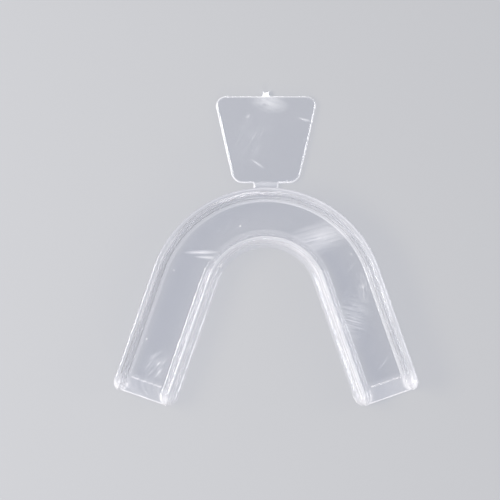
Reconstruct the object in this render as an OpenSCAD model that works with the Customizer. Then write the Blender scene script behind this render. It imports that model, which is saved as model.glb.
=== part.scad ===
// Clear mouldable mouth tray with a pull tab: a U-shaped channel for one dental
// arch, moulded in one shot of soft clear EVA. The tray lies on its flat
// underside with the channel open upwards and the tab towards +Y.

/* [Arch] */
// Radius of the rim of the outer wall round the front of the arch
arch_r = 25.8; // [20:0.1:32]
// Radius of the foot of the inner wall round the front of the arch
tongue_r = 10.8; // [8:0.1:14]
// How far the inner arc's centre lies in front of the outer arc's centre
arc_shift = 1.9; // [0:0.1:4]
// Splay of each arm from the line of symmetry, in degrees
arm_angle = 19.3; // [0:0.1:30]
// Length of the outer side of each arm, behind the front arc
arm_len = 27.5; // [15:0.5:40]

/* [Walls] */
// Thickness of the bite plate
plate_t = 1.6; // [1:0.1:3]
// Height of the outer wall above the underside
outer_h = 10; // [6:0.5:14]
// Thickness of the outer wall's flat-topped rim
outer_rim = 1.7; // [1:0.1:2.5]
// Corner radius on the outside of the rim
brow_r = 0.4; // [0.2:0.05:0.45]
// Corner radius on the channel side of the rim
lip_r = 0.55; // [0.2:0.05:0.55]
// Outward lean of the outer wall from its foot to its rim
outer_lean = 0.8; // [0:0.1:2]
// Distance from the rim's outside to the outer wall's inner foot
outer_foot = 2.4; // [1.8:0.1:3.5]
// Height of the inner wall above the underside
inner_h = 8.5; // [5:0.5:12]
// Thickness of the inner wall's rounded crest
inner_rim = 0.9; // [0.6:0.1:1.5]
// Lean of the inner wall's tongue side from its foot to its crest
inner_lean = 1.75; // [0:0.05:2.2]
// Thickness of the inner wall at its foot
inner_foot = 3.3; // [2:0.1:4.5]
// Radius of the fillets where the walls meet the plate
foot_r = 0.75; // [0.3:0.05:1.5]
// Radius over which the rims roll down at the arm ends
roll_r = 3.3; // [1:0.1:5]

/* [Arm ends] */
// Length of the thin strip at the end of each arm
heel_len = 3.3; // [2:0.1:6]
// Thickness of the thin strip
heel_t = 1.1; // [0.6:0.1:1.6]

/* [Pull tab] */
// Length of the tab
tab_len = 18.9; // [10:0.1:30]
// Half the tab's width at its square near edge, before its corners are rounded
tab_near = 7.07; // [4:0.01:10]
// Flare of each side of the tab, in degrees
tab_flare = 12.9; // [0:0.1:20]
// Corner radius at the tab's near edge
tab_near_r = 2.6; // [1:0.1:4]
// Corner radius at the tab's far edge
tab_far_r = 2.1; // [1:0.1:4]
// Thickness of the tab
tab_t = 1.5; // [1:0.1:3]
// Gap between the arch's rim and the tab's near edge
tab_gap = 1; // [0.5:0.1:3]

/* [Neck and gate] */
// Width of the bending neck
neck_w = 5.4; // [3:0.1:8]
// Thickness of the bending neck
neck_t = 1; // [0.6:0.1:1.5]
// Width of the torn gate stub on the tab's far edge
stub_w = 1.6; // [1:0.1:3]
// Length of the gate stub
stub_len = 1.1; // [0.5:0.1:2]
// Thickness of the gate stub
stub_t = 1.1; // [0.6:0.1:1.5]

/* [View] */
// The part to draw

/* [Hidden] */
$fn = 96;
clear = [0.80, 0.84, 0.93, 0.6];
arc_sweep = 180 - 2 * arm_angle;
base_r = arch_r - outer_lean;
outer_band = outer_foot + foot_r;
inner_band = inner_foot + foot_r;
// The inner arc's centre and the tongue side of the arm, in the arm's own frame
in_x = arc_shift * sin(arm_angle);
in_y = arc_shift * cos(arm_angle);
tongue_x = in_x + tongue_r;
// Rounding of the wall ends, seen from above
outer_end_r = outer_band / 2;
inner_end_r = inner_band / 2;
heel_end_r = outer_end_r - outer_lean / 2;
// The outer arc's centre, placed so that the part's box is centred on Y = 0
front_reach = arch_r + tab_gap + tab_len + stub_len;
back_reach = (tongue_x + inner_end_r) * sin(arm_angle)
  - (arm_len - inner_end_r) * cos(arm_angle) - inner_end_r;
arch_y = -(front_reach + back_reach) / 2;
tab_y = arch_y + arch_r + tab_gap;
stub_y = tab_y + tab_len;
flare_t = tan(tab_flare);
flare_c = cos(tab_flare);

// The right arm's own frame: X outwards across the arm, -Y towards its end
module right_arm() {
  translate([0, arch_y, 0])
    rotate([0, 0, arm_angle])
      children();
}

module left_arm() {
  mirror([1, 0, 0])
    right_arm()
      children();
}

// Section of the outer wall on top of the plate; X is the distance from the arc's centre
module outer_section() {
  difference() {
    polygon([
      [base_r, plate_t],
      [arch_r, outer_h - brow_r],
      [arch_r - brow_r, outer_h],
      [arch_r - outer_rim + lip_r, outer_h],
      [arch_r - outer_rim, outer_h - lip_r],
      [arch_r - outer_foot, plate_t + foot_r],
      [arch_r - outer_band, plate_t + foot_r],
      [arch_r - outer_band, plate_t]
    ]);
    translate([arch_r - outer_band, plate_t + foot_r])
      circle(r = foot_r);
  }
  translate([arch_r - brow_r, outer_h - brow_r])
    circle(r = brow_r);
  translate([arch_r - outer_rim + lip_r, outer_h - lip_r])
    circle(r = lip_r);
}

// Section of the inner wall on top of the plate; X is the distance from the arc's centre
module inner_section() {
  difference() {
    polygon([
      [tongue_r, plate_t],
      [tongue_r + inner_band, plate_t],
      [tongue_r + inner_band, plate_t + foot_r],
      [tongue_r + inner_foot, plate_t + foot_r],
      [tongue_r + inner_lean + inner_rim, inner_h - inner_rim / 2],
      [tongue_r + inner_lean, inner_h - inner_rim / 2]
    ]);
    translate([tongue_r + inner_band, plate_t + foot_r])
      circle(r = foot_r);
  }
  translate([tongue_r + inner_lean + inner_rim / 2, inner_h - inner_rim / 2])
    circle(d = inner_rim);
}

// A straight length of wall from Y = start back to the arm's end, in the arm's frame
module straight_wall(start) {
  translate([0, start, 0])
    rotate([90, 0, 0])
      linear_extrude(height = start + arm_len)
        children();
}

// Keeps what is inside the rounded end of a wall, from above, between X = near and X = far
module end_outline(near, far, r) {
  translate([0, 0, -1])
    linear_extrude(height = outer_h + 2) {
      translate([near, r - arm_len])
        square([far - near, arm_len + arc_shift + 1 - r]);
      translate([near + r, r - arm_len])
        circle(r = r);
      translate([far - r, r - arm_len])
        circle(r = r);
      translate([near + r, -arm_len])
        square([max(far - near - 2 * r, 0.01), r]);
    }
}

// Keeps what is under the rim line as it rolls down at the arm's end, from the side
module roll_outline(height) {
  rotate([90, 0, 90])
    linear_extrude(height = arch_r + 5) {
      translate([roll_r - arm_len, 0])
        square([arm_len + arc_shift + 1 - roll_r, height]);
      translate([roll_r - arm_len, height - roll_r])
        circle(r = roll_r);
      translate([-arm_len, 0])
        square([roll_r, height - roll_r]);
    }
}

// The space between the two arms, from above
module tongue_space() {
  translate([0, arch_y + arc_shift])
    circle(r = tongue_r);
  for (side = [0, 1])
    mirror([side, 0, 0])
      translate([0, arch_y])
        rotate(arm_angle)
          translate([0, in_y - tongue_r])
            square([tongue_x, tongue_r]);
}

module front_plate_outline() {
  reach = 2 * arch_r;
  difference() {
    intersection() {
      translate([0, arch_y])
        circle(r = base_r);
      translate([0, arch_y])
        polygon([
          [0, 0],
          [reach * cos(arm_angle), reach * sin(arm_angle)],
          [reach * cos(arm_angle), reach],
          [-reach * cos(arm_angle), reach],
          [-reach * cos(arm_angle), reach * sin(arm_angle)]
        ]);
    }
    tongue_space();
  }
}

// A trapezoid with its wide edge away from the tray and all four corners rounded
module tab_outline() {
  near_x = tab_near + tab_near_r * flare_t - tab_near_r / flare_c;
  far_x = tab_near + (tab_len - tab_far_r) * flare_t - tab_far_r / flare_c;
  hull()
    for (side = [-1, 1]) {
      translate([side * near_x, tab_near_r])
        circle(r = tab_near_r);
      translate([side * far_x, tab_len - tab_far_r])
        circle(r = tab_far_r);
    }
}

// The bite plate round the front of the arch
module plate_front() {
  color(clear)
    linear_extrude(height = plate_t)
      front_plate_outline();
}

module arm_plate() {
  translate([tongue_x, heel_len - arm_len, 0])
    cube([base_r - tongue_x, arm_len - heel_len, plate_t]);
}

module plate_left() {
  color(clear)
    left_arm()
      arm_plate();
}

module plate_right() {
  color(clear)
    right_arm()
      arm_plate();
}

// The end of an arm, with the thin strip between the wall ends
module arm_heel() {
  difference() {
    linear_extrude(height = plate_t) {
      translate([tongue_x, inner_end_r - arm_len])
        square([base_r - tongue_x, heel_len - inner_end_r]);
      translate([tongue_x + inner_end_r, -arm_len])
        square([base_r - heel_end_r - tongue_x - inner_end_r, heel_len]);
      intersection() {
        translate([tongue_x + inner_end_r, inner_end_r - arm_len])
          circle(r = inner_end_r);
        translate([tongue_x, -arm_len])
          square([inner_band, heel_len]);
      }
      intersection() {
        translate([base_r - heel_end_r, heel_end_r - arm_len])
          circle(r = heel_end_r);
        translate([base_r - outer_band, -arm_len])
          square([outer_band, heel_len]);
      }
    }
    translate([tongue_x + inner_band, -arm_len - 1, heel_t])
      cube([arch_r - outer_band - tongue_x - inner_band, heel_len + 1, plate_t]);
  }
}

module heel_left() {
  color(clear)
    left_arm()
      arm_heel();
}

module heel_right() {
  color(clear)
    right_arm()
      arm_heel();
}

// The outer wall round the front of the arch
module outer_wall_front() {
  color(clear)
    translate([0, arch_y, 0])
      rotate([0, 0, arm_angle])
        rotate_extrude(angle = arc_sweep)
          outer_section();
}

module outer_arm_wall() {
  intersection() {
    straight_wall(0)
      outer_section();
    end_outline(arch_r - outer_band, arch_r, outer_end_r);
    roll_outline(outer_h);
  }
}

module outer_wall_left() {
  color(clear)
    left_arm()
      outer_arm_wall();
}

module outer_wall_right() {
  color(clear)
    right_arm()
      outer_arm_wall();
}

// The inner wall round the front of the tongue space
module inner_wall_front() {
  color(clear)
    translate([0, arch_y + arc_shift, 0])
      rotate([0, 0, arm_angle])
        rotate_extrude(angle = arc_sweep)
          inner_section();
}

module inner_arm_wall() {
  intersection() {
    translate([in_x, 0, 0])
      straight_wall(in_y)
        inner_section();
    end_outline(tongue_x, tongue_x + inner_band, inner_end_r);
    roll_outline(inner_h);
  }
}

module inner_wall_left() {
  color(clear)
    left_arm()
      inner_arm_wall();
}

module inner_wall_right() {
  color(clear)
    right_arm()
      inner_arm_wall();
}

// The thin neck that the tab bends about
module tab_neck() {
  base_y = arch_y + base_r;
  color(clear)
    translate([0, 0, (tab_t - neck_t) / 2])
      linear_extrude(height = neck_t)
        difference() {
          polygon([
            [-neck_w / 2 - 0.4, base_y - 1],
            [neck_w / 2 + 0.4, base_y - 1],
            [neck_w / 2 + 0.4, base_y + 0.05],
            [neck_w / 2, base_y + 0.5],
            [neck_w / 2, tab_y - 0.4],
            [neck_w / 2 + 0.4, tab_y],
            [-neck_w / 2 - 0.4, tab_y],
            [-neck_w / 2, tab_y - 0.4],
            [-neck_w / 2, base_y + 0.5],
            [-neck_w / 2 - 0.4, base_y + 0.05]
          ]);
          translate([0, arch_y])
            circle(r = base_r);
        }
}

// The tab that the tray is held by
module pull_tab() {
  color(clear)
    translate([0, tab_y, 0])
      linear_extrude(height = tab_t)
        tab_outline();
}

// What is left of the moulding gate, torn off
module gate_stub() {
  color([0.93, 0.94, 0.97])
    translate([0, stub_y, (tab_t - stub_t) / 2])
      linear_extrude(height = stub_t)
        polygon([
          [-stub_w * 0.50, 0],
          [stub_w * 0.50, 0],
          [stub_w * 0.44, stub_len * 0.55],
          [stub_w * 0.22, stub_len * 0.48],
          [stub_w * 0.06, stub_len],
          [-stub_w * 0.20, stub_len * 0.62],
          [-stub_w * 0.42, stub_len * 0.80]
        ]);
}

plate_front();
plate_left();
plate_right();
heel_left();
heel_right();
outer_wall_front();
outer_wall_left();
outer_wall_right();
inner_wall_front();
inner_wall_left();
inner_wall_right();
tab_neck();
pull_tab();
gate_stub();
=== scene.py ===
# A clear mouldable mouth tray: one soft moulding of EVA, made of a U-shaped
# channel for the teeth and a pull tab on a short bending neck.
import math

import bmesh
import bpy
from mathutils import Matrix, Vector, noise
from mathutils.geometry import delaunay_2d_cdt
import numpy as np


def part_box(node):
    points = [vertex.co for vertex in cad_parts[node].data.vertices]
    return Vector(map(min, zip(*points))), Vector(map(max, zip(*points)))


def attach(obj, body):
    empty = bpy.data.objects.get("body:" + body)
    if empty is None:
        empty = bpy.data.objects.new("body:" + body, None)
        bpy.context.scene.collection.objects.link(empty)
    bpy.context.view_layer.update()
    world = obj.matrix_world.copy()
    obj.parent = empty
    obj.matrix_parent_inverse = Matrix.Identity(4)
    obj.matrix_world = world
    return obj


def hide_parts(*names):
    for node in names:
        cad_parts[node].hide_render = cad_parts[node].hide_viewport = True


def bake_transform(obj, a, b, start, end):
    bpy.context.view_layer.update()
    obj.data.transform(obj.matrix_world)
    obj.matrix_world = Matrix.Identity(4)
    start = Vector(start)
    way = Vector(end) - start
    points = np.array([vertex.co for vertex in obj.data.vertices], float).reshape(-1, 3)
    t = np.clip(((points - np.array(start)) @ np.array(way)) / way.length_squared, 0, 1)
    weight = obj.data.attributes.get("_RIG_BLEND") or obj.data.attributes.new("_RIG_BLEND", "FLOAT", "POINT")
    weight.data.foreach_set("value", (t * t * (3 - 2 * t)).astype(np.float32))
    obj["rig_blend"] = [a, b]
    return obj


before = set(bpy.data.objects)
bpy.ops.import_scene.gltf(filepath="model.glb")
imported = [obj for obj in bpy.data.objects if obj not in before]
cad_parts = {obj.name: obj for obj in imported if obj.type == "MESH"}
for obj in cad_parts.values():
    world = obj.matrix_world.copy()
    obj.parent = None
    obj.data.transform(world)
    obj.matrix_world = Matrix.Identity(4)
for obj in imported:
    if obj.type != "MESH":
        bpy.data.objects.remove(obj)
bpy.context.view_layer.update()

# ---------------------------------------------------------------- the channel
# The tray itself is a flat bite plate with a flared outer wall and a tapered
# inner wall, injected in clear ethylene-vinyl acetate in a polished mould, so
# plate, walls and thin arm ends are one skin with no seam.
MM = 0.001
ARM_SPLAY = math.radians(19.3)
ARM_LENGTH = 27.5 * MM
RIM_RADIUS = 25.8 * MM
TONGUE_RADIUS = 10.8 * MM
ARC_SHIFT = 1.9 * MM
PLATE = 1.6 * MM
HEEL = 1.1 * MM
HEEL_LENGTH = 3.3 * MM
HEEL_SLOPE = 0.35 * MM
OUTER_TOP = 10.0 * MM
INNER_TOP = 8.5 * MM
ROLL = 3.3 * MM

# The two walls' sections
RIM_FLARE = 0.8 * MM
RIM_WIDTH = 1.7 * MM
RIM_CORNER = 0.40 * MM
LIP_CORNER = 0.55 * MM
OUTER_FOOT = 3.15 * MM
INNER_FOOT = 4.05 * MM
CREST_MIDDLE = 2.2 * MM
CREST_ROUND = 0.45 * MM
FOOT_ROUND = 0.75 * MM
EDGE_ROUND = 0.35 * MM
FLOOR_POINTS = 18

# The rounded arm ends. The first slice stands just inside the end, so that it keeps some height
OUTER_BULLET = 2.3 * MM
INNER_BULLET = 2.8 * MM
END_EDGE = 0.3 * MM
END_SLICE = 0.004 * MM
END_ZONE = 3.15 * MM

# The path of the strip and how many slices it is cut into
BEND_MIDDLE = 19 * MM
SPLAY_RUN = 12 * MM
END_STEPS = 24
SLOPE_STEPS = 6
ARM_STEPS = 26
BEND_STEPS = 110

# How cloudy the skin is, from 0 for clear, and over what lengths that changes; part of it is painted light:
# painted shade on the left side's walls and painted highlights at the arm ends
# Painted shade: the left side's walls keep only this share of their cloudiness, so they read darker than the
# right side's, fading across the middle
LEFT_PAINTED_SHADE_CLOUDING = 0.42
PAINTED_SHADE_SIDE_FADE = 24 * MM
EVEN_START = 3.2 * MM
EVEN_RUN = 2.4 * MM
# Painted highlights: the last few millimetres of each arm, its end edge, the heel floor and the heel step
# are made whiter, standing in for light caught by the rounded ends
PAINTED_END_HIGHLIGHT_START = 4.6 * MM
PAINTED_END_HIGHLIGHT_RUN = 4.2 * MM
OUTER_END_PAINTED_HIGHLIGHT = 0.55
INNER_END_PAINTED_HIGHLIGHT = 0.60
END_EDGE_PAINTED_HIGHLIGHT = 0.5
STEP_PAINTED_HIGHLIGHT = 0.45
HEEL_PAINTED_HIGHLIGHT = 0.14

plate_low, plate_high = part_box("plate_front")
outer_low, outer_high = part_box("outer_wall_front")
outer_centre = Vector((0, outer_high.y - RIM_RADIUS, 0))
inner_centre = outer_centre + Vector((0, ARC_SHIFT, 0))


def arc_points(cx, cz, radius, start, stop, count):
    """Points of one rounded edge of the section, angles in degrees."""
    steps = [math.radians(start + (stop - start) * i / count) for i in range(count + 1)]
    return [(cx + radius * math.cos(a), cz + radius * math.sin(a)) for a in steps]


def straight(a, b, count):
    """Points between two corners of the section, without the ends."""
    return [(a[0] + (b[0] - a[0]) * i / count, a[1] + (b[1] - a[1]) * i / count)
            for i in range(1, count)]


def outer_wall_section():
    """The outer wall as (x, z, cloudiness), from the underside's edge over the flat rim to the floor."""
    base = RIM_RADIUS - RIM_FLARE
    lip_x = RIM_RADIUS - RIM_WIDTH + LIP_CORNER
    edge = arc_points(base - EDGE_ROUND, EDGE_ROUND, EDGE_ROUND, -90, 0, 5)
    brow = arc_points(RIM_RADIUS - RIM_CORNER, OUTER_TOP - RIM_CORNER, RIM_CORNER, 0, 86, 9)
    lip = arc_points(lip_x, OUTER_TOP - LIP_CORNER, LIP_CORNER, 92, 180, 10)
    foot = arc_points(RIM_RADIUS - OUTER_FOOT, PLATE + FOOT_ROUND, FOOT_ROUND, 0, -90, 8)
    outside = straight(edge[-1], (base, PLATE), 3) + [(base, PLATE)] + straight((base, PLATE), brow[0], 8)
    run = [(x, z, 0.22) for x, z in edge + outside] + [(x, z, 0.34) for x, z in brow]
    run += [(x, z, 0.12) for x, z in straight(brow[-1], lip[0], 6) + lip[:5]]
    run += [(x, z, 0.10) for x, z in lip[5:] + straight(lip[-1], foot[0], 8)]
    run += [(x, z, 0.30 if i < 8 else 0.0) for i, (x, z) in enumerate(foot)]
    return run


def inner_wall_section():
    """The inner wall as (x, z, cloudiness), from the channel floor over the crest to the underside."""
    r = TONGUE_RADIUS
    foot = arc_points(r + INNER_FOOT, PLATE + FOOT_ROUND, FOOT_ROUND, 270, 180, 8)
    top = arc_points(r + CREST_MIDDLE, INNER_TOP - CREST_ROUND, CREST_ROUND, 0, 180, 16)
    edge = arc_points(r + EDGE_ROUND, EDGE_ROUND, EDGE_ROUND, 180, 270, 5)
    tongue = straight(top[-1], (r, PLATE), 12)
    run = [(x, z, 0.18 if i > 0 else 0.0) for i, (x, z) in enumerate(foot)]
    run += [(x, z, 0.10) for x, z in straight(foot[-1], top[0], 8)]
    run += [(x, z, 0.45) for x, z in top]
    run += [(x, z, 0.62 - 0.36 * i / 10) for i, (x, z) in enumerate(tongue)]
    run += [(x, z, 0.40) for x, z in [(r, PLATE)] + straight((r, PLATE), edge[0], 3) + edge]
    return run


def end_scale(u, radius):
    """How wide a wall still is where its rounded end begins to close."""
    if u >= radius:
        return 1.0
    return math.sqrt(max(radius * radius - (radius - u) ** 2, 0)) / radius


def rim_height(u, top):
    """The rim line, which rolls down over the last few millimetres of an arm."""
    if u >= ROLL:
        return top
    return top - ROLL + math.sqrt(max(ROLL * ROLL - (ROLL - u) ** 2, 0))


def soft_step(x):
    """From 0 to 1 with a soft start and stop."""
    x = min(max(x, 0.0), 1.0)
    return x * x * (3 - 2 * x)


def section_at(u):
    """The closed section at a distance u from the arm's end, as (outer wall's share, x, z, cloudiness), the
    cloudiness including painted highlights at the arm's end, its end edge, the heel floor and its step.

    On the floor and the underside x is a pair, one measured from each wall's bend centre.
    """
    floor = HEEL + (PLATE - HEEL) * soft_step((u - HEEL_LENGTH) / HEEL_SLOPE)
    closing = 1.0 if u >= END_EDGE else 0.45 + 0.55 * math.sqrt(1 - (1 - u / END_EDGE) ** 2)
    middle = HEEL / 2
    low = middle - middle * closing
    floor = middle + (floor - middle) * closing

    def lift(z, top):
        if z <= PLATE:
            return low + z / PLATE * (floor - low)
        return floor + (z - PLATE) * (rim_height(u, top) - floor) / (top - PLATE)

    outer_mid = RIM_RADIUS - OUTER_FOOT / 2
    inner_mid = TONGUE_RADIUS + INNER_FOOT / 2
    so, si = end_scale(u, OUTER_BULLET), end_scale(u, INNER_BULLET)
    painted_end_highlight = soft_step((PAINTED_END_HIGHLIGHT_START - u) / PAINTED_END_HIGHLIGHT_RUN)
    outer = [(1.0, outer_mid + (x - outer_mid) * so, lift(z, OUTER_TOP),
              milk + (OUTER_END_PAINTED_HIGHLIGHT - milk) * painted_end_highlight)
             for x, z, milk in outer_wall_section()]
    inner = [(0.0, inner_mid + (x - inner_mid) * si, lift(z, INNER_TOP),
              milk + (INNER_END_PAINTED_HIGHLIGHT - milk) * painted_end_highlight)
             for x, z, milk in inner_wall_section()]
    # Painted highlights on the floor and underside: the end edge, the heel step's slope and the heel floor
    # are whitened
    painted_end_edge_highlight = END_EDGE_PAINTED_HIGHLIGHT * soft_step((0.35 * MM - u) / (0.2 * MM))
    painted_step_highlight = STEP_PAINTED_HIGHLIGHT if HEEL_LENGTH < u < HEEL_LENGTH + HEEL_SLOPE * 0.9 else 0.0
    painted_heel_highlight = HEEL_PAINTED_HIGHLIGHT * soft_step((HEEL_LENGTH + 0.6 * MM - u) / (0.2 * MM)) + painted_end_edge_highlight + painted_step_highlight
    shares = [i / FLOOR_POINTS for i in range(1, FLOOR_POINTS)]
    floor_run = [(1 - share, (outer[-1][1], inner[0][1]), floor, painted_heel_highlight) for share in shares]
    under_run = [(share, (outer[0][1], inner[-1][1]), low, painted_end_edge_highlight) for share in shares]
    return outer + floor_run + inner + under_run


def stations():
    """Places along the strip from the right arm's end to the left's.

    Each is (turn round the bend, how far the outer wall and the inner wall run past the bend's end,
    distance to the arm's end, length so far).
    """
    steps = [END_ZONE * (1 - math.cos(math.pi / 2 * k / END_STEPS)) for k in range(END_STEPS + 1)]
    steps[0] = END_SLICE
    steps += [HEEL_LENGTH + HEEL_SLOPE * k / SLOPE_STEPS for k in range(SLOPE_STEPS + 1)]
    steps += [steps[-1] + (ARM_LENGTH - steps[-1]) * k / ARM_STEPS for k in range(1, ARM_STEPS)]
    sweep = math.pi - 2 * ARM_SPLAY
    bend_length = BEND_MIDDLE * sweep
    arm = []
    for u in steps:
        past = ARM_LENGTH - u
        inner_past = past + ARC_SHIFT * math.cos(ARM_SPLAY) * soft_step(past / SPLAY_RUN)
        arm.append((past, inner_past, u))
    out = [(ARM_SPLAY, -past, -inner_past, u, u) for past, inner_past, u in arm]
    for i in range(BEND_STEPS + 1):
        part = i / BEND_STEPS
        out.append((ARM_SPLAY + sweep * part, 0.0, 0.0, 1.0, ARM_LENGTH + bend_length * part))
    total = ARM_LENGTH * 2 + bend_length
    left_turn = math.pi - ARM_SPLAY
    out += [(left_turn, past, inner_past, u, total - u) for past, inner_past, u in reversed(arm)]
    return out


def strip_ring(station):
    """One ring of the unbent strip, as (reach, run past the bend, z, outer wall's share, cloudiness), where
    the cloudiness holds painted shade on the left side's walls and painted highlights at the arm ends.

    The reach is the distance from the bend's centre.
    """
    turn, outer_past, inner_past, u, along = station
    near_end = soft_step((EVEN_START - u) / EVEN_RUN)
    ring = []
    for share, x, z, wall in section_at(u):
        on_a_wall = not isinstance(x, tuple)
        reach = x if on_a_wall else x[0] * share + x[1] * (1 - share)
        past = outer_past * share + inner_past * (1 - share)
        side = reach * math.cos(turn) - past * math.sin(turn)
        # Painted shade: walls on the left side lose cloudiness and read darker; near the arm ends near_end
        # brings them back to full
        rightness = soft_step(0.5 + side / PAINTED_SHADE_SIDE_FADE)
        clouding = LEFT_PAINTED_SHADE_CLOUDING + (1 - LEFT_PAINTED_SHADE_CLOUDING) * rightness if on_a_wall else 1.0
        ring.append((reach, past, z, share, wall * (clouding + (1 - clouding) * near_end)))
    return ring


# The unbent strip: across in x, past the bend in y, up in z, with its turn kept as an attribute
mesh = bpy.data.meshes.new("channel_strip")
bm = bmesh.new()
kept = ("wall", "turn", "outer_share", "along", "across")
for name in kept:
    bm.verts.layers.float.new(name)
layers = [bm.verts.layers.float[name] for name in kept]
rings = []
for station in stations():
    row, travelled, last = [], 0.0, None
    for reach, past, z, share, wall in strip_ring(station):
        p = Vector((reach, 0, z))
        travelled += (p - last).length if last is not None else 0.0
        last = p
        v = bm.verts.new((reach, past, z))
        for layer, value in zip(layers, (wall, station[0], share, station[4], travelled)):
            v[layer] = value
        row.append(v)
    rings.append(row)
for a, b in zip(rings, rings[1:]):
    n = len(a)
    for i in range(n):
        j = (i + 1) % n
        bm.faces.new((a[i], a[j], b[j], b[i]))
bm.faces.new(rings[0])
bm.faces.new(rings[-1])
for f in bm.faces:
    f.smooth = len(f.verts) == 4
bm.to_mesh(mesh)
bm.free()


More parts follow.
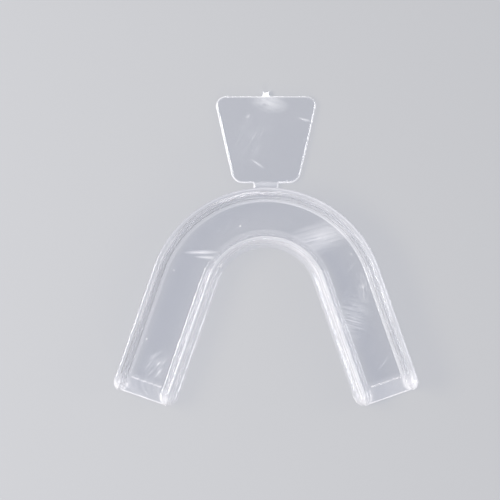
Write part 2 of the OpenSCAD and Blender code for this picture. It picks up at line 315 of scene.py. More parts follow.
def clear_eva(name, tint, clouded_tint, haze, scratch, milk, rubs):
    """Clear moulded EVA.

    haze is the roughness of the polished skin, scratch how strongly hairlines show and milk how
    much the walls scatter. rubs are dull marks, on the channel also one painted reflection, each
    (label, centre, turn in degrees, half lengths, strength, strokes, gap), in millimetres: strokes
    is how many times finer it is broken up along and across, and gap is how much of it stays clear.
    """
    material = bpy.data.materials.new(name)
    material.use_nodes = True
    nt = material.node_tree
    nodes, links = nt.nodes, nt.links
    nodes.clear()

    place = nodes.new("ShaderNodeTexCoord")
    place.label = "Place on the moulding"
    place.location = (-1700, 0)

    # Fine hairlines from handling
    hair_frame = nodes.new("NodeFrame")
    hair_frame.label = "Hairline scratches"
    hair_turn = nodes.new("ShaderNodeMapping")
    hair_turn.label = "Lay the hairlines across"
    hair_turn.location = (-1480, 320)
    hair_turn.vector_type = "TEXTURE"
    hair_turn.inputs["Rotation"].default_value = (0.0, 0.0, 0.9)
    hair_turn.inputs["Scale"].default_value = (0.006, 0.0003, 0.006)
    hair_noise = nodes.new("ShaderNodeTexNoise")
    hair_noise.label = "Long thin strokes"
    hair_noise.location = (-1280, 320)
    hair_noise.inputs["Scale"].default_value = 1.0
    hair_noise.inputs["Detail"].default_value = 3.0
    hair_noise.inputs["Distortion"].default_value = 0.6
    hair_line = nodes.new("ShaderNodeValToRGB")
    hair_line.label = "Keep only the finest strokes"
    hair_line.location = (-1080, 320)
    hair_line.color_ramp.elements[0].position = 0.60
    hair_line.color_ramp.elements[1].position = 0.72
    patch_noise = nodes.new("ShaderNodeTexNoise")
    patch_noise.label = "Where it was rubbed"
    patch_noise.location = (-1280, 60)
    patch_noise.inputs["Scale"].default_value = 150.0
    patch_noise.inputs["Detail"].default_value = 2.0
    patch_ramp = nodes.new("ShaderNodeValToRGB")
    patch_ramp.label = "Rubbed patches only"
    patch_ramp.location = (-1080, 60)
    patch_ramp.color_ramp.elements[0].position = 0.50
    patch_ramp.color_ramp.elements[1].position = 0.66
    hair_mask = nodes.new("ShaderNodeMath")
    hair_mask.label = "Hairlines in the rubbed patches"
    hair_mask.operation = "MULTIPLY"
    hair_mask.location = (-780, 260)
    hair_strength = nodes.new("ShaderNodeMath")
    hair_strength.label = "How deep the hairlines are"
    hair_strength.operation = "MULTIPLY"
    hair_strength.inputs[1].default_value = scratch
    hair_strength.location = (-600, 260)
    for n in (hair_turn, hair_noise, hair_line, patch_noise, patch_ramp, hair_mask, hair_strength):
        n.parent = hair_frame
    links.new(place.outputs["Object"], hair_turn.inputs["Vector"])
    links.new(hair_turn.outputs["Vector"], hair_noise.inputs["Vector"])
    links.new(hair_noise.outputs["Fac"], hair_line.inputs["Fac"])
    links.new(place.outputs["Object"], patch_noise.inputs["Vector"])
    links.new(patch_noise.outputs["Fac"], patch_ramp.inputs["Fac"])
    links.new(hair_line.outputs["Color"], hair_mask.inputs[0])
    links.new(patch_ramp.outputs["Color"], hair_mask.inputs[1])
    links.new(hair_mask.outputs["Value"], hair_strength.inputs[0])

    # Dull rub marks in their own places, and on the channel one painted reflection, each a soft oval broken
    # into strokes
    rub_frame = nodes.new("NodeFrame")
    rub_frame.label = "Rub marks"
    last_rub = None
    for k, (label, centre, turn, halves, strength, strokes, gap) in enumerate(rubs):
        rub_turn = nodes.new("ShaderNodeMapping")
        rub_turn.label = label
        rub_turn.vector_type = "TEXTURE"
        rub_turn.location = (-1480, 700 + 420 * k)
        rub_turn.inputs["Location"].default_value = [c * MM for c in centre]
        rub_turn.inputs["Rotation"].default_value = (0.0, 0.0, math.radians(turn))
        rub_turn.inputs["Scale"].default_value = [h * MM for h in halves]
        rub_oval = nodes.new("ShaderNodeTexGradient")
        rub_oval.label = label + ", its reach"
        rub_oval.gradient_type = "SPHERICAL"
        rub_oval.location = (-1280, 860 + 420 * k)
        rub_streak = nodes.new("ShaderNodeTexNoise")
        rub_streak.label = label + ", its strokes"
        rub_streak.location = (-1280, 620 + 420 * k)
        rub_streak.inputs["Scale"].default_value = 1.0
        rub_streak.inputs["Detail"].default_value = 4.0
        rub_squeeze = nodes.new("ShaderNodeMapping")
        rub_squeeze.label = "Draw the strokes out"
        rub_squeeze.location = (-1480, 520 + 420 * k)
        rub_squeeze.inputs["Scale"].default_value = (*strokes, 1.0)
        rub_contrast = nodes.new("ShaderNodeMapRange")
        rub_contrast.label = "Break the mark up"
        rub_contrast.location = (-1080, 620 + 420 * k)
        rub_contrast.inputs["From Min"].default_value = gap
        rub_contrast.inputs["From Max"].default_value = gap + 0.22
        rub_mask = nodes.new("ShaderNodeMath")
        rub_mask.label = "Strokes inside the mark"
        rub_mask.operation = "MULTIPLY"
        rub_mask.location = (-880, 740 + 420 * k)
        rub_depth = nodes.new("ShaderNodeMath")
        rub_depth.label = "How strong the mark is"
        rub_depth.operation = "MULTIPLY"
        rub_depth.inputs[1].default_value = strength
        rub_depth.location = (-700, 740 + 420 * k)
        for n in (rub_turn, rub_oval, rub_streak, rub_squeeze, rub_contrast, rub_mask, rub_depth):
            n.parent = rub_frame
        links.new(place.outputs["Object"], rub_turn.inputs["Vector"])
        links.new(rub_turn.outputs["Vector"], rub_oval.inputs["Vector"])
        links.new(rub_turn.outputs["Vector"], rub_squeeze.inputs["Vector"])
        links.new(rub_squeeze.outputs["Vector"], rub_streak.inputs["Vector"])
        links.new(rub_streak.outputs["Fac"], rub_contrast.inputs["Value"])
        links.new(rub_oval.outputs["Fac"], rub_mask.inputs[0])
        links.new(rub_contrast.outputs["Result"], rub_mask.inputs[1])
        links.new(rub_mask.outputs["Value"], rub_depth.inputs[0])
        if last_rub is None:
            last_rub = rub_depth
        else:
            rub_sum = nodes.new("ShaderNodeMath")
            rub_sum.label = "Together with the other marks"
            rub_sum.operation = "ADD"
            rub_sum.location = (-520, 740 + 420 * k)
            rub_sum.parent = rub_frame
            links.new(rub_depth.outputs["Value"], rub_sum.inputs[0])
            links.new(last_rub.outputs["Value"], rub_sum.inputs[1])
            last_rub = rub_sum

    # Soft unevenness of the moulded skin
    skin_frame = nodes.new("NodeFrame")
    skin_frame.label = "Moulded skin"
    skin_noise = nodes.new("ShaderNodeTexNoise")
    skin_noise.label = "Slow sink marks"
    skin_noise.location = (-1280, -260)
    skin_noise.inputs["Scale"].default_value = 130.0
    skin_noise.inputs["Detail"].default_value = 2.0
    skin_bump = nodes.new("ShaderNodeBump")
    skin_bump.label = "Skin relief"
    skin_bump.location = (-780, -260)
    skin_bump.inputs["Strength"].default_value = 0.04
    skin_bump.inputs["Distance"].default_value = 0.00012
    hair_bump = nodes.new("ShaderNodeBump")
    hair_bump.label = "Hairline relief"
    hair_bump.location = (-560, -260)
    hair_bump.invert = True
    hair_bump.inputs["Strength"].default_value = 0.12
    hair_bump.inputs["Distance"].default_value = 0.00003
    along = nodes.new("ShaderNodeAttribute")
    along.label = "Length along the arch"
    along.location = (-1700, -380)
    along.attribute_name = "along"
    across = nodes.new("ShaderNodeAttribute")
    across.label = "Way round the section"
    across.location = (-1700, -560)
    across.attribute_name = "across"
    drag = nodes.new("ShaderNodeCombineXYZ")
    drag.label = "Follow the walls"
    drag.location = (-1480, -420)
    draw = nodes.new("ShaderNodeMapping")
    draw.label = "Draw lines out along the walls"
    draw.location = (-1280, -420)
    draw.inputs["Scale"].default_value = (5.0, 2200.0, 1.0)
    draw_noise = nodes.new("ShaderNodeTexNoise")
    draw_noise.label = "Polishing lines of the mould"
    draw_noise.location = (-1080, -420)
    draw_noise.inputs["Scale"].default_value = 1.0
    draw_noise.inputs["Detail"].default_value = 2.0
    draw_bump = nodes.new("ShaderNodeBump")
    draw_bump.label = "Line relief"
    draw_bump.location = (-560, -60)
    draw_bump.inputs["Strength"].default_value = 0.10
    draw_bump.inputs["Distance"].default_value = 0.00008
    for n in (skin_noise, skin_bump, hair_bump, along, across, drag, draw, draw_noise, draw_bump):
        n.parent = skin_frame
    links.new(along.outputs["Fac"], drag.inputs["X"])
    links.new(across.outputs["Fac"], drag.inputs["Y"])
    links.new(drag.outputs["Vector"], draw.inputs["Vector"])
    links.new(draw.outputs["Vector"], draw_noise.inputs["Vector"])
    links.new(draw_noise.outputs["Fac"], draw_bump.inputs["Height"])
    links.new(skin_bump.outputs["Normal"], draw_bump.inputs["Normal"])
    links.new(place.outputs["Object"], skin_noise.inputs["Vector"])
    links.new(skin_noise.outputs["Fac"], skin_bump.inputs["Height"])
    links.new(hair_strength.outputs["Value"], hair_bump.inputs["Height"])
    links.new(draw_bump.outputs["Normal"], hair_bump.inputs["Normal"])

    # Thick walls scatter a little light, thin plates hardly any; the wall attribute also holds painted
    # light: painted shade on the channel's left side, and painted highlights at the arm ends and round the
    # tab's edge
    milk_frame = nodes.new("NodeFrame")
    milk_frame.label = "Cloudiness of the walls"
    wall_share = nodes.new("ShaderNodeAttribute")
    wall_share.label = "Cloudiness with painted light"
    wall_share.location = (-1280, -560)
    wall_share.attribute_name = "wall"
    cloud_noise = nodes.new("ShaderNodeTexNoise")
    cloud_noise.label = "Uneven clouding"
    cloud_noise.location = (-1280, -760)
    cloud_noise.inputs["Scale"].default_value = 300.0
    cloud_noise.inputs["Detail"].default_value = 2.0
    cloud_range = nodes.new("ShaderNodeMapRange")
    cloud_range.label = "Clouding from faint to full"
    cloud_range.location = (-1060, -760)
    cloud_range.inputs["From Min"].default_value = 0.3
    cloud_range.inputs["From Max"].default_value = 0.7
    cloud_range.inputs["To Min"].default_value = 0.72
    cloud_range.inputs["To Max"].default_value = 1.0
    flow_lines = nodes.new("ShaderNodeMapRange")
    flow_lines.label = "Clouding drawn out along the flow"
    flow_lines.location = (-1060, -1000)
    flow_lines.inputs["From Min"].default_value = 0.35
    flow_lines.inputs["From Max"].default_value = 0.62
    flow_lines.inputs["To Min"].default_value = 0.45
    flow_lines.inputs["To Max"].default_value = 1.15
    wall_lines = nodes.new("ShaderNodeMath")
    wall_lines.label = "Walls in lines"
    wall_lines.operation = "MULTIPLY"
    wall_lines.location = (-1060, -560)
    wall_milk = nodes.new("ShaderNodeMath")
    wall_milk.label = "Cloudy walls"
    wall_milk.operation = "MULTIPLY"
    wall_milk.location = (-840, -620)
    milk_amount = nodes.new("ShaderNodeMath")
    milk_amount.label = "Cloudiness"
    milk_amount.operation = "MULTIPLY"
    milk_amount.inputs[1].default_value = milk
    milk_amount.location = (-640, -620)
    marks = nodes.new("ShaderNodeMath")
    marks.label = "Clouding and hairlines"
    marks.operation = "ADD"
    marks.use_clamp = True
    marks.location = (-440, -560)
    clearness = nodes.new("ShaderNodeMath")
    clearness.label = "What still lets light through"
    clearness.operation = "SUBTRACT"
    clearness.inputs[0].default_value = 1.0
    clearness.location = (-240, -560)
    for n in (wall_share, cloud_noise, cloud_range, flow_lines, wall_lines,
              wall_milk, milk_amount, marks, clearness):
        n.parent = milk_frame
    links.new(place.outputs["Object"], cloud_noise.inputs["Vector"])
    links.new(cloud_noise.outputs["Fac"], cloud_range.inputs["Value"])
    links.new(draw_noise.outputs["Fac"], flow_lines.inputs["Value"])
    links.new(wall_share.outputs["Fac"], wall_lines.inputs[0])
    links.new(flow_lines.outputs["Result"], wall_lines.inputs[1])
    links.new(wall_lines.outputs["Value"], wall_milk.inputs[0])
    links.new(cloud_range.outputs["Result"], wall_milk.inputs[1])
    links.new(wall_milk.outputs["Value"], milk_amount.inputs[0])
    worn = nodes.new("ShaderNodeMath")
    worn.label = "Clouding and rub marks"
    worn.operation = "ADD"
    worn.location = (-540, -700)
    worn.parent = milk_frame
    links.new(milk_amount.outputs["Value"], worn.inputs[0])
    links.new(last_rub.outputs["Value"], worn.inputs[1])
    links.new(worn.outputs["Value"], marks.inputs[0])
    links.new(hair_strength.outputs["Value"], marks.inputs[1])
    links.new(marks.outputs["Value"], clearness.inputs[1])

    # The clear stretches are a little blue and the clouded ones a little pink
    tone = nodes.new("ShaderNodeMix")
    tone.label = "Tone from clear to clouded"
    tone.data_type = "RGBA"
    tone.location = (-240, 340)
    tone.parent = milk_frame
    tone.inputs[6].default_value = (*tint, 1.0)
    tone.inputs[7].default_value = (*clouded_tint, 1.0)
    links.new(marks.outputs["Value"], tone.inputs[0])

    # Gloss
    gloss_frame = nodes.new("NodeFrame")
    gloss_frame.label = "Gloss"
    gloss_range = nodes.new("ShaderNodeMapRange")
    gloss_range.label = "Skin from polished to rubbed"
    gloss_range.location = (-240, 120)
    gloss_range.inputs["To Min"].default_value = haze
    gloss_range.inputs["To Max"].default_value = 0.5
    gloss_range.parent = gloss_frame
    links.new(marks.outputs["Value"], gloss_range.inputs["Value"])

    skin = nodes.new("ShaderNodeBsdfPrincipled")
    skin.label = "Clear EVA"
    skin.location = (40, 120)
    skin.inputs["IOR"].default_value = 1.48
    links.new(gloss_range.outputs["Result"], skin.inputs["Roughness"])
    links.new(tone.outputs[2], skin.inputs["Base Color"])
    links.new(clearness.outputs["Value"], skin.inputs["Transmission Weight"])
    links.new(hair_bump.outputs["Normal"], skin.inputs["Normal"])

    ray = nodes.new("ShaderNodeLightPath")
    ray.label = "Which ray this is"
    ray.location = (40, 460)
    lamp_through = nodes.new("ShaderNodeBsdfTransparent")
    lamp_through.label = "Lamp light passes, a little dimmed"
    lamp_through.location = (40, -420)
    lamp_through.inputs["Color"].default_value = (0.95, 0.955, 0.97, 1.0)
    soft_ray = nodes.new("ShaderNodeMath")
    soft_ray.label = "Lamp light, straight or bounced"
    soft_ray.operation = "MAXIMUM"
    soft_ray.location = (220, 460)
    choose = nodes.new("ShaderNodeMixShader")
    choose.label = "Lamps see through it"
    choose.location = (360, 160)
    output = nodes.new("ShaderNodeOutputMaterial")
    output.location = (560, 160)
    links.new(ray.outputs["Is Shadow Ray"], soft_ray.inputs[0])
    links.new(ray.outputs["Is Diffuse Ray"], soft_ray.inputs[1])
    links.new(soft_ray.outputs["Value"], choose.inputs["Fac"])
    links.new(skin.outputs["BSDF"], choose.inputs[1])
    links.new(lamp_through.outputs["BSDF"], choose.inputs[2])
    links.new(choose.outputs["Shader"], output.inputs["Surface"])
    return material


channel_rubs_and_painted_reflection = [
    # Painted reflection: the first entry is a whitish wedge standing in for lamp light reflected and
    # refracted onto the floor; the rest are real rubs, scratches and dust
    ("Painted reflection wedge inside the front bend", (11.5, 2.4, 1.6), 16, (8.5, 3.8, 0.6), 0.30, (0.7, 10.0), 0.32),
    ("Fainter smear on the arm", (18.6, -15.5, 1.6), -13, (4.2, 7.0, 0.6), 0.30, (0.7, 20.0), 0.42),
    ("Upper stroke", (-14.0, -0.8, 1.6), 1, (4.0, 0.50, 0.6), 0.46, (1.2, 2.0), 0.30),
    ("Lower stroke", (-12.9, -1.9, 1.6), -3, (2.9, 0.42, 0.6), 0.38, (1.2, 2.0), 0.30),
    ("Scuff near the arm's end", (-23.6, -25.2, 1.6), 52, (4.0, 3.2, 0.6), 1.0, (1.3, 15.0), 0.50),
    ("Streaks beside the outer wall", (21.0, -8.6, 1.6), 100, (3.6, 1.6, 0.8), 0.9, (1.6, 7.0), 0.50),
    ("Nick in the inner wall", (-10.2, -3.9, 5.0), 60, (1.6, 1.2, 3.5), 1.3, (1.5, 5.0), 0.45),
    ("Dust on the left arm", (-25.9, -19.6, 1.6), 30, (0.26, 0.20, 0.6), 1.0, (0.5, 0.5), 0.20),
    ("Dust at the left bend", (-20.0, -4.7, 1.6), 0, (0.22, 0.18, 0.6), 0.9, (0.5, 0.5), 0.20),
    ("Dust at the front", (-5.6, 4.9, 1.6), 60, (0.28, 0.18, 0.6), 0.9, (0.5, 0.5), 0.20),
    ("Dust at the right bend", (18.5, -1.2, 1.6), 10, (0.22, 0.18, 0.6), 0.8, (0.5, 0.5), 0.20),
]


def bend_round_the_arch(material):
    """The node tree that bends the flat strip round the arch, with its sizes as named inputs."""
    tree = bpy.data.node_groups.new("bend_round_the_arch", "GeometryNodeTree")
    tree.interface.new_socket(name="Strip", in_out="INPUT", socket_type="NodeSocketGeometry")
    tree.interface.new_socket(name="Outer bend centre", in_out="INPUT", socket_type="NodeSocketFloat")
    tree.interface.new_socket(name="Inner bend centre", in_out="INPUT", socket_type="NodeSocketFloat")
    tree.interface.new_socket(name="Channel", in_out="OUTPUT", socket_type="NodeSocketGeometry")
    nodes, links = tree.nodes, tree.links
    given = nodes.new("NodeGroupInput")
    given.label = "Strip and sizes"

    # How far round the bend each point is, and on which wall
    path_frame = nodes.new("NodeFrame")
    path_frame.label = "Where each point is on the arch"
    turn = nodes.new("GeometryNodeInputNamedAttribute")
    turn.label = "Turn round the bend"
    turn.data_type = "FLOAT"
    turn.inputs["Name"].default_value = "turn"
    share = nodes.new("GeometryNodeInputNamedAttribute")
    share.label = "Share of the outer wall"
    share.data_type = "FLOAT"
    share.inputs["Name"].default_value = "outer_share"
    flat = nodes.new("GeometryNodeInputPosition")
    flat.label = "Place on the strip"
    centre = nodes.new("ShaderNodeMapRange")
    centre.label = "Bend centre between the walls"
    turned = nodes.new("ShaderNodeVectorRotate")
    turned.label = "Turn reach and run together"
    turned.rotation_type = "Z_AXIS"
    middle = nodes.new("ShaderNodeCombineXYZ")
    middle.label = "Bend centre"
    moved = nodes.new("ShaderNodeVectorMath")
    moved.label = "Out from the centre"
    moved.operation = "ADD"
    for n in (turn, share, flat, centre, turned, middle, moved):
        n.parent = path_frame
    links.new(flat.outputs["Position"], turned.inputs["Vector"])
    links.new(turn.outputs["Attribute"], turned.inputs["Angle"])
    links.new(share.outputs["Attribute"], centre.inputs["Value"])
    links.new(given.outputs["Inner bend centre"], centre.inputs["To Min"])
    links.new(given.outputs["Outer bend centre"], centre.inputs["To Max"])
    links.new(centre.outputs["Result"], middle.inputs["Y"])
    links.new(middle.outputs["Vector"], moved.inputs[0])
    links.new(turned.outputs["Vector"], moved.inputs[1])

    # Bend the strip and give it its plastic
    bend = nodes.new("GeometryNodeSetPosition")
    bend.label = "Bend the strip"
    realize = nodes.new("GeometryNodeRealizeInstances")
    realize.label = "One real mesh"
    coat = nodes.new("GeometryNodeSetMaterial")
    coat.label = "Clear EVA"
    coat.inputs["Material"].default_value = material
    result = nodes.new("NodeGroupOutput")
    links.new(given.outputs["Strip"], bend.inputs["Geometry"])
    links.new(moved.outputs["Vector"], bend.inputs["Position"])
    links.new(bend.outputs["Geometry"], realize.inputs["Geometry"])
    links.new(realize.outputs["Geometry"], coat.inputs["Geometry"])
    links.new(coat.outputs["Geometry"], result.inputs["Channel"])
    columns = (given, turn, share, flat, centre, turned, middle, moved, bend, realize, coat, result)
    for i, n in enumerate(columns):
        n.location = (200 * i, -160 * (i % 3))
    return tree


channel_eva = clear_eva("channel_clear_eva", (0.955, 0.96, 0.985), (0.97, 0.93, 0.94),
                        haze=0.04, scratch=0.08, milk=0.85, rubs=channel_rubs_and_painted_reflection)
strip = bpy.data.objects.new("channel_strip", mesh)
bpy.context.scene.collection.objects.link(strip)
bend = strip.modifiers.new("bend", "NODES")
bend.node_group = bend_round_the_arch(channel_eva)
sizes = {item.name: item.identifier for item in bend.node_group.interface.items_tree}
bend[sizes["Outer bend centre"]] = outer_centre.y
bend[sizes["Inner bend centre"]] = inner_centre.y
bpy.context.view_layer.update()
seen = strip.evaluated_get(bpy.context.evaluated_depsgraph_get())
mesh = bpy.data.meshes.new_from_object(seen)
mesh.name = "tray_channel"
strip.modifiers.remove(bend)
bpy.data.objects.remove(strip)
bm = bmesh.new()
bm.from_mesh(mesh)
bmesh.ops.recalc_face_normals(bm, faces=bm.faces)
bm.to_mesh(mesh)
bm.free()
channel = bpy.data.objects.new("tray_channel", mesh)
bpy.context.scene.collection.objects.link(channel)
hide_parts("plate_front", "plate_left", "plate_right", "heel_left", "heel_right",
            "outer_wall_front", "outer_wall_left", "outer_wall_right",
            "inner_wall_front", "inner_wall_left", "inner_wall_right")
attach(channel, "tray")

# ------------------------------------------------- the pull tab and its neck
# A flat trapezoid plate the tray is held by while it is softened in hot water,
# on a thinner neck that bends and is snipped off once the tray has been fitted.
# Both are part of the same shot, with rounded corners and softly rounded edges.
TAB_NEAR_HALF = 7.07 * MM
TAB_FLARE = math.radians(12.9)
TAB_NEAR_CORNER = 2.6 * MM
TAB_FAR_CORNER = 2.1 * MM
TAB_EDGE = 0.6 * MM
NECK_HALF = 2.7 * MM
NECK_FILLET = 0.25 * MM
NECK_FOOT = 0.45 * MM
FILL_PITCH = 0.4 * MM
FILL_MARGIN = 2.0 * MM
CORNER_MARGIN = 3.0 * MM
NECK_MARGIN = 1.25 * MM
FAR_MARGIN = 1.4 * MM

tab_low, tab_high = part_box("pull_tab")
neck_low, neck_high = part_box("tab_neck")
tab_length = tab_high.y - tab_low.y
half_tab = (tab_high.z - tab_low.z) / 2
half_neck = (neck_high.z - neck_low.z) / 2
tab_middle = (tab_low.z + tab_high.z) / 2
neck_back = plate_high.y - 0.08 * MM - tab_low.y
neck_foot_y = outer_high.y - tab_low.y


def tab_ring(inset):
    """The outline of neck and tab, pulled in by inset, anticlockwise from the neck's right foot."""
    slope, lean = math.tan(TAB_FLARE), math.cos(TAB_FLARE)
    near_x = TAB_NEAR_HALF + TAB_NEAR_CORNER * slope - TAB_NEAR_CORNER / lean
    far_y = tab_length - TAB_FAR_CORNER
    far_x = TAB_NEAR_HALF + far_y * slope - TAB_FAR_CORNER / lean
    flare = math.degrees(TAB_FLARE)
    half = NECK_HALF - inset
    foot = [(half + NECK_FOOT * (1 - k / 5) ** 2, neck_back + (neck_foot_y + NECK_FOOT - neck_back) * k / 5)
            for k in range(5)]
    notch = arc_points(NECK_HALF + NECK_FILLET, -NECK_FILLET, NECK_FILLET + inset, 180, 90, 7)
    near = arc_points(near_x, TAB_NEAR_CORNER, TAB_NEAR_CORNER - inset, -90, -flare, 14)
    far = arc_points(far_x, far_y, TAB_FAR_CORNER - inset, -flare, 90, 14)
    right = foot + notch + straight(notch[-1], near[0], 8) + near + straight(near[-1], far[0], 30) + far
    left = [(-x, y) for x, y in reversed(right)]
    out = right + straight(right[-1], left[0], 24) + left + straight(left[-1], right[0], 14)
    return [Vector((x, tab_low.y + y)) for x, y in out]


def half_thickness(y):
    """Half the plate's thickness, less along the neck."""
    return half_tab + (half_neck - half_tab) * soft_step((tab_low.y + 0.2 * MM - y) / (0.7 * MM))


def tab_painted_edge_and_stress_haze(y, inset):
    """Painted highlight as whiteness full round the edge, and a little real stress haze where the neck is
    stressed against the thicker tab.
    """
    # Painted highlight: the rounded edge is whitened to stand in for the bright line light draws round it
    edge = 0.80 * soft_step((0.42 * MM - inset) / (0.3 * MM))
    stressed = 0.13 if -0.55 * MM < y - tab_low.y < 0.25 * MM else 0.0
    return max(edge, stressed)


mesh = bpy.data.meshes.new("pull_tab_and_neck")
tab = bpy.data.objects.new("pull_tab_and_neck", mesh)
bpy.context.scene.collection.objects.link(tab)
bm = bmesh.new()
wall_layer = bm.verts.layers.float.new("wall")
turns = [math.pi / 2 * k / 8 for k in range(9)]
levels = [(1.0 * MM, 1.0)]
levels += [(TAB_EDGE * (1 - math.sin(t)), 1 - TAB_EDGE / half_tab * (1 - math.cos(t))) for t in turns]
levels += [(inset, -share) for inset, share in reversed(levels)]
rings = []
for inset, share in levels:
    row = []
    for p in tab_ring(inset):
        v = bm.verts.new((p.x, p.y, tab_middle + share * half_thickness(p.y)))
        v[wall_layer] = tab_painted_edge_and_stress_haze(p.y, inset)
        row.append(v)
    rings.append(row)
for a, b in zip(rings, rings[1:]):
    for i in range(len(a)):
        j = (i + 1) % len(a)
        bm.faces.new((a[i], b[i], b[j], a[j]))


def fill_half_width(y):
    """How far from the middle a flat face's points may lie, clear of its rounded edge and corners."""
    if y <= 1.2 * MM:
        return NECK_HALF - NECK_MARGIN
    near_a_corner = y < 2.6 * MM or y > tab_length - 2.2 * MM
    margin = CORNER_MARGIN if near_a_corner else FILL_MARGIN
    return TAB_NEAR_HALF + y * math.tan(TAB_FLARE) - margin


# The flat faces, filled with points close enough to bend along the neck
rim = tab_ring(levels[0][0])
inside = []
for row in range(2, int((tab_length - FAR_MARGIN - neck_back) / FILL_PITCH) + 1):
    y = neck_back + row * FILL_PITCH
    for column in range(-28, 29):
        if abs(column) * FILL_PITCH < fill_half_width(y):
            inside.append(Vector((column * FILL_PITCH, tab_low.y + y)))
points, _, triangles, came_from, _, _ = delaunay_2d_cdt(
    rim + inside, [], [list(range(len(rim)))], 1, 1e-8)
for share, edge_row in ((1, rings[0]), (-1, rings[-1])):
    corner = []
    for p, sources in zip(points, came_from):
        on_rim = [k for k in sources if k < len(rim)]
        if on_rim:
            corner.append(edge_row[on_rim[0]])
        else:
            v = bm.verts.new((p.x, p.y, tab_middle + share * half_thickness(p.y)))
            v[wall_layer] = tab_painted_edge_and_stress_haze(p.y, TAB_EDGE)
            corner.append(v)
    for triangle in triangles:
        bm.faces.new([corner[k] for k in triangle])
# The rings meet in one point at the middle of the neck's back edge
bmesh.ops.remove_doubles(bm, verts=bm.verts, dist=0.0002 * MM)
bmesh.ops.recalc_face_normals(bm, faces=bm.faces)
for f in bm.faces:
    f.smooth = True
bm.to_mesh(mesh)
bm.free()
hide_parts("pull_tab", "tab_neck")
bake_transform(tab, "tray", "tab", start=(0, neck_low.y, tab_middle), end=(0, tab_low.y, tab_middle))
tab_rubs = [
    ("Blush below the gate", (0.7, 31.9, 1.5), -14, (4.6, 2.6, 0.6), 0.24, (1.6, 3.6), 0.28),
    ("Curl near the far corner", (8.4, 28.0, 1.5), -16, (1.7, 0.34, 0.6), 0.30, (1.0, 2.0), 0.30),
    ("Short curl low on the tab", (-1.8, 18.4, 1.5), -34, (2.0, 0.34, 0.6), 0.28, (1.0, 2.0), 0.30),
    ("Speck below the far edge", (-3.9, 28.7, 1.5), 40, (0.8, 0.5, 0.6), 0.25, (2.0, 3.0), 0.36),
    ("Faint handling marks", (-3.0, 24.0, 1.5), 62, (7.5, 5.0, 0.6), 0.12, (1.5, 14.0), 0.46),
    ("Stress haze across the neck", (0.0, 13.3, 1.2), 0, (3.0, 0.6, 0.8), 0.12, (1.0, 3.0), 0.30),
]
tab.data.materials.append(clear_eva("tab_clear_eva", (0.955, 0.96, 0.985), (0.98, 0.97, 0.975),
                                    haze=0.05, scratch=0.10, milk=0.85, rubs=tab_rubs))

# --------------------------------------------------------------- the gate stub
# What is left where the moulding was twisted off its runner: a ragged nub of
# the same plastic, stretched white, waisted in the middle and horned where it
# let go.
stub_low, stub_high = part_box("gate_stub")
mesh = bpy.data.meshes.new("torn_gate")
stub = bpy.data.objects.new("torn_gate", mesh)
bpy.context.scene.collection.objects.link(stub)
bm = bmesh.new()
bmesh.ops.create_cube(bm, size=2.0)
bmesh.ops.subdivide_edges(bm, edges=bm.edges, cuts=13, use_grid_fill=True)
stub_size = stub_high - stub_low
stub_middle = (stub_low + stub_high) / 2
for v in bm.verts:
    q = v.co.copy()
    reach = (q.y + 1) / 2
    rounded = 1 - 0.12 * (q.x * q.z) ** 2
    waist = 1.12 - 1.15 * reach + 0.95 * reach * reach
    tear = noise.noise(Vector((q.x * 2.3, q.z * 1.9, 3.1)))
    tall = 0.74 + 0.26 * abs(q.x) ** 2.5 - 0.12 * q.z * q.z + 0.24 * tear
    ripple = Vector([0.05 * noise.noise(q * 3.5 + Vector((k * 7.3, 0, 0))) for k in range(3)])
    x = stub_middle.x + (q.x * waist * rounded + ripple.x) * stub_size.x / 2
    z = stub_middle.z + (q.z * (1.0 - 0.25 * reach) * rounded + ripple.z) * stub_size.z / 2
    y = stub_low.y - 0.05 * MM + (min(reach * tall + ripple.y * reach, 1.0)) * (stub_size.y + 0.05 * MM)
    v.co = Vector((x, y, z))
bmesh.ops.recalc_face_normals(bm, faces=bm.faces)
for f in bm.faces:
    f.smooth = True
bm.to_mesh(mesh)
bm.free()
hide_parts("gate_stub")
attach(stub, "tab")

torn = bpy.data.materials.new("torn_white_eva")
torn.use_nodes = True
nodes, links = torn.node_tree.nodes, torn.node_tree.links
nodes.clear()
place = nodes.new("ShaderNodeTexCoord")
place.label = "Place on the stub"
place.location = (-900, 0)
tear_frame = nodes.new("NodeFrame")
tear_frame.label = "Torn fibres"
fibre = nodes.new("ShaderNodeTexNoise")
fibre.label = "Pulled fibres"
fibre.location = (-700, 100)
fibre.inputs["Scale"].default_value = 3500.0
fibre.inputs["Detail"].default_value = 4.0
fibre_tone = nodes.new("ShaderNodeValToRGB")
fibre_tone.label = "Whitened and clear fibres"
fibre_tone.location = (-480, 200)
fibre_tone.color_ramp.elements[0].position = 0.35
fibre_tone.color_ramp.elements[0].color = (0.72, 0.74, 0.79, 1)
fibre_tone.color_ramp.elements[1].position = 0.6
fibre_tone.color_ramp.elements[1].color = (0.97, 0.97, 0.99, 1)
fibre_bump = nodes.new("ShaderNodeBump")
fibre_bump.label = "Torn relief"
fibre_bump.location = (-480, -120)
fibre_bump.inputs["Strength"].default_value = 0.8
fibre_bump.inputs["Distance"].default_value = 0.0001
for n in (fibre, fibre_tone, fibre_bump):
    n.parent = tear_frame
body = nodes.new("ShaderNodeBsdfPrincipled")
body.label = "Whitened EVA"
body.location = (-160, 100)
body.inputs["Roughness"].default_value = 0.5
body.inputs["Transmission Weight"].default_value = 0.08
body.inputs["Subsurface Weight"].default_value = 0.6
body.inputs["Subsurface Radius"].default_value = (1.0, 1.0, 1.0)
body.inputs["Subsurface Scale"].default_value = 0.001
body.inputs["IOR"].default_value = 1.48
ray = nodes.new("ShaderNodeLightPath")
ray.label = "Which ray this is"
ray.location = (-160, 420)
glow_through = nodes.new("ShaderNodeBsdfTransparent")
glow_through.label = "Lamp light glows through"
glow_through.location = (-160, -420)
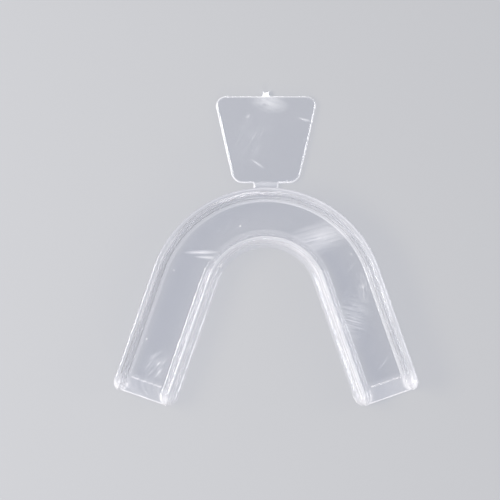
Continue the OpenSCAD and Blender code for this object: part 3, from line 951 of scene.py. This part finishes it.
glow_through.inputs["Color"].default_value = (0.80, 0.81, 0.83, 1.0)
choose = nodes.new("ShaderNodeMixShader")
choose.label = "Lamps see through it"
choose.location = (120, 200)
output = nodes.new("ShaderNodeOutputMaterial")
output.location = (320, 200)
links.new(place.outputs["Object"], fibre.inputs["Vector"])
links.new(fibre.outputs["Fac"], fibre_tone.inputs["Fac"])
links.new(fibre.outputs["Fac"], fibre_bump.inputs["Height"])
links.new(fibre_tone.outputs["Color"], body.inputs["Base Color"])
links.new(fibre_bump.outputs["Normal"], body.inputs["Normal"])
links.new(ray.outputs["Is Shadow Ray"], choose.inputs["Fac"])
links.new(body.outputs["BSDF"], choose.inputs[1])
links.new(glow_through.outputs["BSDF"], choose.inputs[2])
links.new(choose.outputs["Shader"], output.inputs["Surface"])
stub.data.materials.append(torn)

# ------------------------------------------------------------------- the studio
# A plain pale table under soft lamps: a strong one on the left, two weaker ones
# on the right and beyond the arms' ends, and an even pale room.
mesh = bpy.data.meshes.new("studio_table")
table = bpy.data.objects.new("studio_table", mesh)
bpy.context.scene.collection.objects.link(table)
bm = bmesh.new()
bmesh.ops.create_grid(bm, x_segments=2, y_segments=2, size=1.2)
bm.to_mesh(mesh)
bm.free()
for v in table.data.vertices:
    v.co.z = -0.0001
paper = bpy.data.materials.new("table_paper")
paper.use_nodes = True
paper_skin = paper.node_tree.nodes["Principled BSDF"]
paper_skin.inputs["Base Color"].default_value = (0.335, 0.34, 0.355, 1)
paper_skin.inputs["Roughness"].default_value = 0.9
paper_skin.inputs["Specular IOR Level"].default_value = 0.1
table.data.materials.append(paper)


def soft_lamp(name, place, aim, size, power, colour):
    lamp = bpy.data.lights.new(name, "AREA")
    lamp.shape = "RECTANGLE"
    lamp.size, lamp.size_y = size
    lamp.energy = power
    lamp.color = colour
    holder = bpy.data.objects.new(name, lamp)
    bpy.context.scene.collection.objects.link(holder)
    holder.location = place
    holder.rotation_euler = (Vector(aim) - Vector(place)).to_track_quat("-Z", "Y").to_euler()
    return holder


soft_lamp("left_softbox", (-0.48, 0.02, 0.60), (0, 0, 0), (0.40, 0.28), 9.0, (1.0, 0.985, 0.97))
soft_lamp("right_softbox", (0.62, 0.10, 0.45), (0, 0, 0), (0.35, 0.25), 2.5, (0.94, 0.96, 1.0))
soft_lamp("near_softbox", (0.08, -0.62, 0.42), (0, 0, 0), (0.35, 0.20), 2.5, (1.0, 0.97, 0.97))
room = bpy.data.worlds.new("pale_room")
room.use_nodes = True
room.node_tree.nodes["Background"].inputs["Color"].default_value = (0.80, 0.83, 0.88, 1)
room.node_tree.nodes["Background"].inputs["Strength"].default_value = 0.26
bpy.context.scene.world = room
bpy.context.scene.view_settings.view_transform = "Standard"

CAMERA_HEIGHT = 1.20
FRAME_WIDTH = 0.10785
camera_data = bpy.data.cameras.new("camera")
camera = bpy.data.objects.new("camera", camera_data)
bpy.context.scene.collection.objects.link(camera)
camera_data.sensor_width = 36
camera_data.lens = 36 * CAMERA_HEIGHT / FRAME_WIDTH
camera.location = (-0.00347, -0.0003, CAMERA_HEIGHT + OUTER_TOP * 0.9)
camera.rotation_euler = (0, 0, 0)
bpy.context.scene.camera = camera
